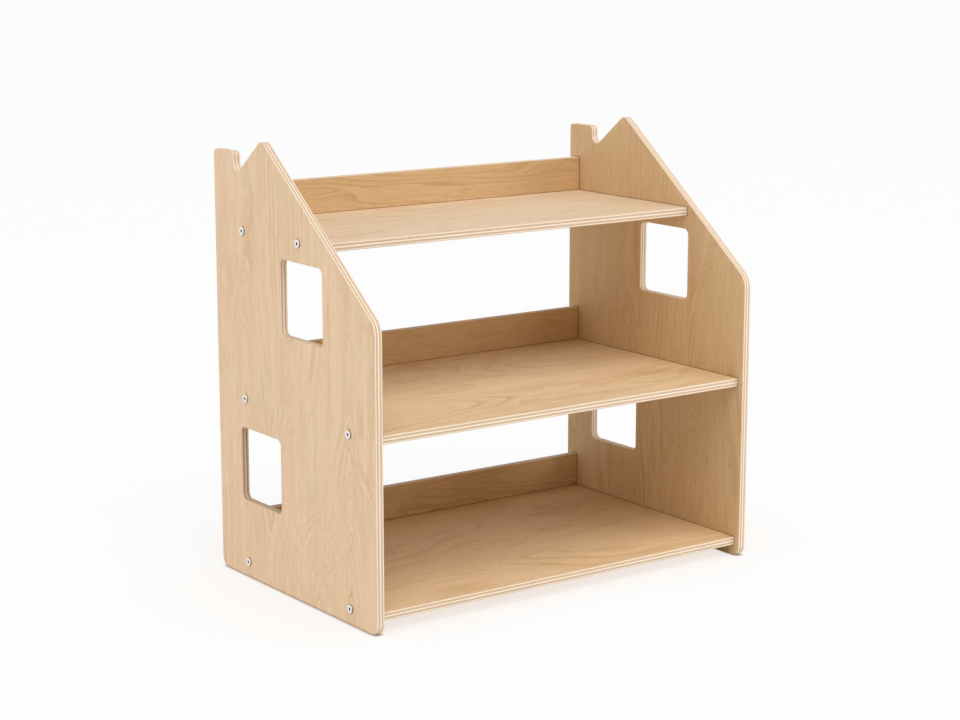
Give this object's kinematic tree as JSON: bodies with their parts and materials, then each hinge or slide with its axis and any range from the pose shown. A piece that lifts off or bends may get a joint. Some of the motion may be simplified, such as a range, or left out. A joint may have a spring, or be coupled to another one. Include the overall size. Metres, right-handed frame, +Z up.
{
  "type": "toy shelf",
  "caption": "Free-standing plywood toy shelf with house-shaped side panels, rounded windows, open shelves and a low rail behind each shelf.",
  "frame": {"origin": "on the floor, in the middle of the width and of the depth", "axes": "+X to the right along the shelves, the open front faces -Y, +Z up"},
  "size_m": [0.6364, 0.4, 0.6113],
  "materials": {
    "panel_wood": "clear matt varnished plywood, grain upright",
    "shelf_wood": "clear matt varnished plywood, grain along the shelf",
    "rail_wood": "clear matt varnished plywood, grain along the rail",
    "connector_steel": "zinc-plated, satin",
    "rail_screw_steel": "zinc-plated, satin"
  },
  "bodies": {
    "root": {"side_panel_left": "panel_wood", "side_panel_right": "panel_wood", "shelf_bottom": "shelf_wood", "shelf_middle": "shelf_wood", "shelf_top": "shelf_wood", "rail_bottom": "rail_wood", "rail_middle": "rail_wood", "rail_top": "rail_wood", "connector_bottom_left_front": "connector_steel", "connector_bottom_left_rear": "connector_steel", "connector_middle_left_front": "connector_steel", "connector_middle_left_rear": "connector_steel", "connector_top_left_front": "connector_steel", "connector_top_left_rear": "connector_steel", "connector_bottom_right_front": "connector_steel", "connector_bottom_right_rear": "connector_steel", "connector_middle_right_front": "connector_steel", "connector_middle_right_rear": "connector_steel", "connector_top_right_front": "connector_steel", "connector_top_right_rear": "connector_steel", "rail_screw_bottom_left": "rail_screw_steel", "rail_screw_bottom_centre": "rail_screw_steel", "rail_screw_bottom_right": "rail_screw_steel", "rail_screw_middle_left": "rail_screw_steel", "rail_screw_middle_centre": "rail_screw_steel", "rail_screw_middle_right": "rail_screw_steel", "rail_screw_top_left": "rail_screw_steel", "rail_screw_top_centre": "rail_screw_steel", "rail_screw_top_right": "rail_screw_steel"}
  },
  "joints": []
}
